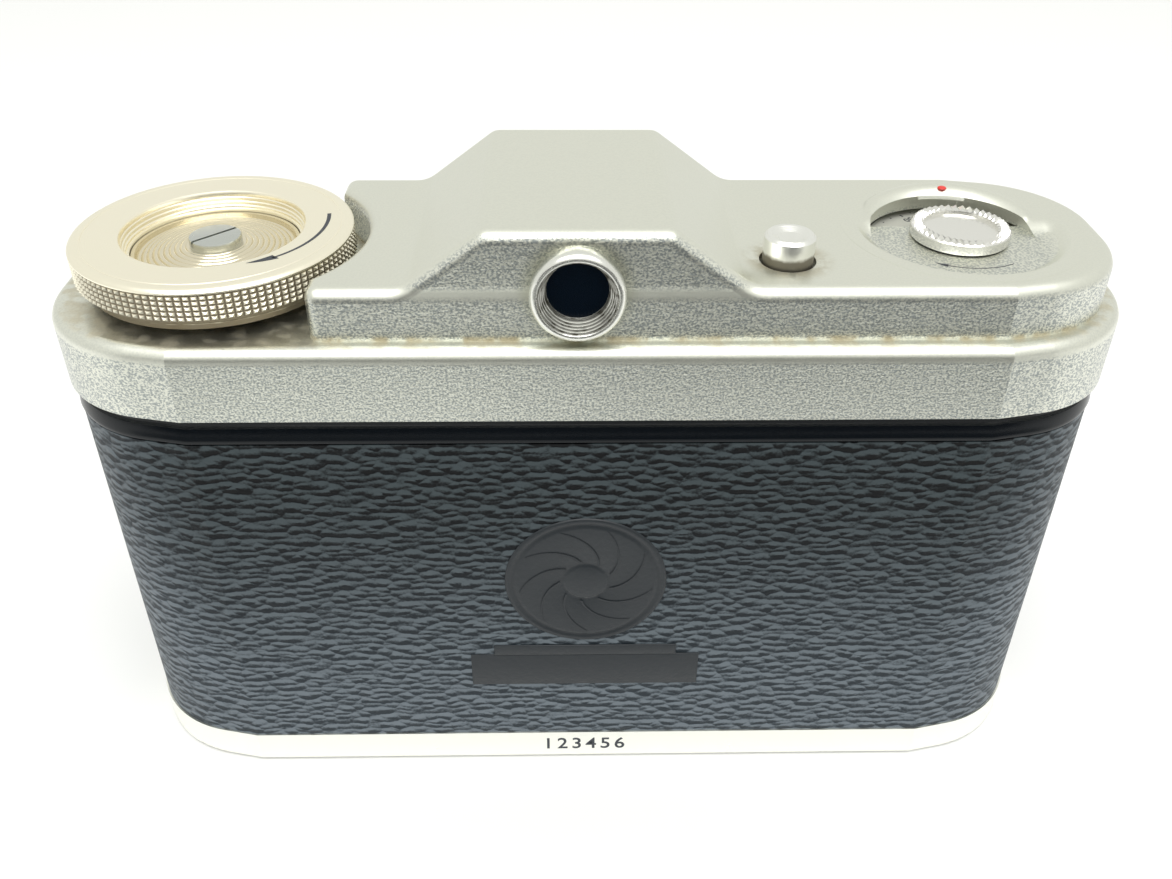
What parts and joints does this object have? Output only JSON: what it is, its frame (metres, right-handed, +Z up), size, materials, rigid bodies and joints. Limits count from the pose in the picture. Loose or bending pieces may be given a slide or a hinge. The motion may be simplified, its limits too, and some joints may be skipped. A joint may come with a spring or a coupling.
{
  "type": "viewfinder film camera",
  "caption": "Compact 35 mm film camera with rounded ends: knurled wind knob, frame counter, finder hump, release button, leaf-shutter lens and lift-off back.",
  "frame": {"origin": "mouth of the tripod socket, in the middle of the flat underside", "axes": "+Z up, -Y the way the lens looks, +X toward the wind knob"},
  "size_m": [0.112, 0.0575, 0.071],
  "materials": {
    "satin_chrome": "satin chrome, fine grain",
    "nickel": "warm nickel plate, turned and knurled",
    "turned_aluminium": "bright turned",
    "anodised_lens": "satin",
    "cast_alloy": "cast, blackened inside",
    "steel": "bright steel",
    "gear_brass": "cut brass",
    "black_enamel": "gloss enamel",
    "black_paint": "matt black paint",
    "black_leather": "grained black covering",
    "spool_black": "moulded black",
    "optical_glass": "polished, coated"
  },
  "bodies": {
    "body": {"body_casting": "cast_alloy", "gear_posts": "steel", "gate_plate": "steel", "top_cover": "satin_chrome", "eyepiece_ring": "satin_chrome", "eyepiece_lens": "optical_glass", "finder_tube": "black_paint", "finder_window": "optical_glass", "front_leather": "black_leather", "front_rim": "black_enamel", "release_bush": "steel", "shutter_mount": "satin_chrome", "shutter_housing": "black_paint", "blade_plate": "black_paint", "rear_cell": "black_paint", "clamp_ring": "black_paint", "rear_lens": "optical_glass", "flash_socket": "steel"},
    "winder": {"wind_knob": "nickel", "wind_dish": "nickel", "wind_screw": "steel", "wind_spindle": "steel", "take_up_spool": "spool_black"},
    "sprocket_drum": {"sprocket": "turned_aluminium", "sprocket_pinion": "gear_brass"},
    "idler": {"idler_gear": "gear_brass"},
    "counter_wheel": {"counter_gear": "gear_brass"},
    "counter": {"counter_dial": "turned_aluminium", "counter_knob": "turned_aluminium"},
    "release": {"release_button": "turned_aluminium", "release_link": "steel", "release_spring": "steel"},
    "aperture": {"aperture_ring": "anodised_lens"},
    "speeds": {"speed_ring": "anodised_lens"},
    "cocking": {"cocking_lever": "anodised_lens"},
    "focus": {"focus_ring": "anodised_lens"},
    "front_cell": {"lens_barrel": "anodised_lens", "front_lens": "optical_glass"},
    "back": {"back_cover": "black_paint", "back_leather": "black_leather", "back_rim": "black_enamel", "base_plate": "satin_chrome", "tripod_bush": "steel", "base_screws": "steel", "pressure_spring": "steel"},
    "pressure": {"pressure_plate": "steel"},
    "latch": {"lock_key": "nickel", "lock_bar": "steel"},
    "rewind": {"rewind_knob": "nickel", "rewind_fork": "steel"},
    "blade_1": {"shutter_blade_1": "steel"},
    "blade_2": {"shutter_blade_2": "steel"},
    "blade_3": {"shutter_blade_3": "steel"},
    "blade_4": {"shutter_blade_4": "steel"},
    "blade_5": {"shutter_blade_5": "steel"}
  },
  "joints": [
    {"name": "wind", "type": "hinge", "parent": "body", "child": "winder", "pos_m": [0.0392, 0, 0.0634], "axis": [0, 0, 1], "continuous": true},
    {"name": "sprocket_turn", "type": "hinge", "parent": "body", "child": "sprocket_drum", "pos_m": [-0.0214, 0.00325, 0.0275], "axis": [0, 0, 1], "continuous": true},
    {"name": "idler_turn", "type": "hinge", "parent": "body", "child": "idler", "pos_m": [-0.0295, -0.00275, 0.0531], "axis": [0, 0, 1], "continuous": true},
    {"name": "counter_turn", "type": "hinge", "parent": "body", "child": "counter_wheel", "pos_m": [-0.0392, 0, 0.0549], "axis": [0, 0, 1], "continuous": true},
    {"name": "counter_set", "type": "hinge", "parent": "counter_wheel", "child": "counter", "pos_m": [-0.0392, 0, 0.0629], "axis": [0, 0, 1], "continuous": true},
    {"name": "release", "type": "slide", "parent": "body", "child": "release", "axis": [0, 0, -1], "range_m": [0, 0.0022], "stiffness_N_per_m": 300, "springref_m": -0.003, "deforming": ["release_spring"]},
    {"name": "aperture_turn", "type": "hinge", "parent": "body", "child": "aperture", "pos_m": [0, -0.0157, 0.0275], "axis": [0, -1, 0], "range_deg": [0, 60]},
    {"name": "speed_turn", "type": "hinge", "parent": "body", "child": "speeds", "pos_m": [0, -0.0157, 0.0275], "axis": [0, -1, 0], "range_deg": [0, 110]},
    {"name": "cocking_turn", "type": "hinge", "parent": "body", "child": "cocking", "pos_m": [0, -0.0157, 0.0275], "axis": [0, -1, 0], "range_deg": [0, 50]},
    {"name": "focus_turn", "type": "hinge", "parent": "body", "child": "focus", "pos_m": [0, -0.0157, 0.0275], "axis": [0, -1, 0], "range_deg": [0, 200]},
    {"name": "focus_travel", "type": "slide", "parent": "body", "child": "front_cell", "axis": [0, -1, 0], "range_m": [0, 0.0022]},
    {"name": "back_off", "type": "slide", "parent": "body", "child": "back", "axis": [0, 0, -1], "range_m": [0, 0.058]},
    {"name": "pressure_travel", "type": "slide", "parent": "back", "child": "pressure", "axis": [0, 1, 0], "range_m": [0, 0.0004], "stiffness_N_per_m": 1000, "springref_m": -0.001},
    {"name": "latch_turn", "type": "hinge", "parent": "back", "child": "latch", "pos_m": [0.0392, 0, 0.0015], "axis": [0, 0, -1], "range_deg": [0, 90]},
    {"name": "rewind_turn", "type": "hinge", "parent": "back", "child": "rewind", "pos_m": [-0.0404, 0, 0.0015], "axis": [0, 0, -1], "continuous": true},
    {"name": "blade_1_swing", "type": "hinge", "parent": "body", "child": "blade_1", "pos_m": [0, -0.0224, 0.0415], "axis": [0, -1, 0], "range_deg": [0, 30]},
    {"name": "blade_2_swing", "type": "hinge", "parent": "body", "child": "blade_2", "pos_m": [-0.01331, -0.0224, 0.03183], "axis": [0, -1, 0], "range_deg": [0, 30]},
    {"name": "blade_3_swing", "type": "hinge", "parent": "body", "child": "blade_3", "pos_m": [-0.00823, -0.0224, 0.01617], "axis": [0, -1, 0], "range_deg": [0, 30]},
    {"name": "blade_4_swing", "type": "hinge", "parent": "body", "child": "blade_4", "pos_m": [0.00823, -0.0224, 0.01617], "axis": [0, -1, 0], "range_deg": [0, 30]},
    {"name": "blade_5_swing", "type": "hinge", "parent": "body", "child": "blade_5", "pos_m": [0.01331, -0.0224, 0.03183], "axis": [0, -1, 0], "range_deg": [0, 30]}
  ],
  "couplings": [
    {"joint": "sprocket_turn", "follows": "wind", "ratio": 1},
    {"joint": "idler_turn", "follows": "wind", "ratio": -0.16667},
    {"joint": "counter_turn", "follows": "wind", "ratio": 0.027778},
    {"joint": "focus_travel", "follows": "focus_turn", "m_per_rad": 0.0006},
    {"joint": "blade_2_swing", "follows": "blade_1_swing", "ratio": 1},
    {"joint": "blade_3_swing", "follows": "blade_1_swing", "ratio": 1},
    {"joint": "blade_4_swing", "follows": "blade_1_swing", "ratio": 1},
    {"joint": "blade_5_swing", "follows": "blade_1_swing", "ratio": 1}
  ]
}
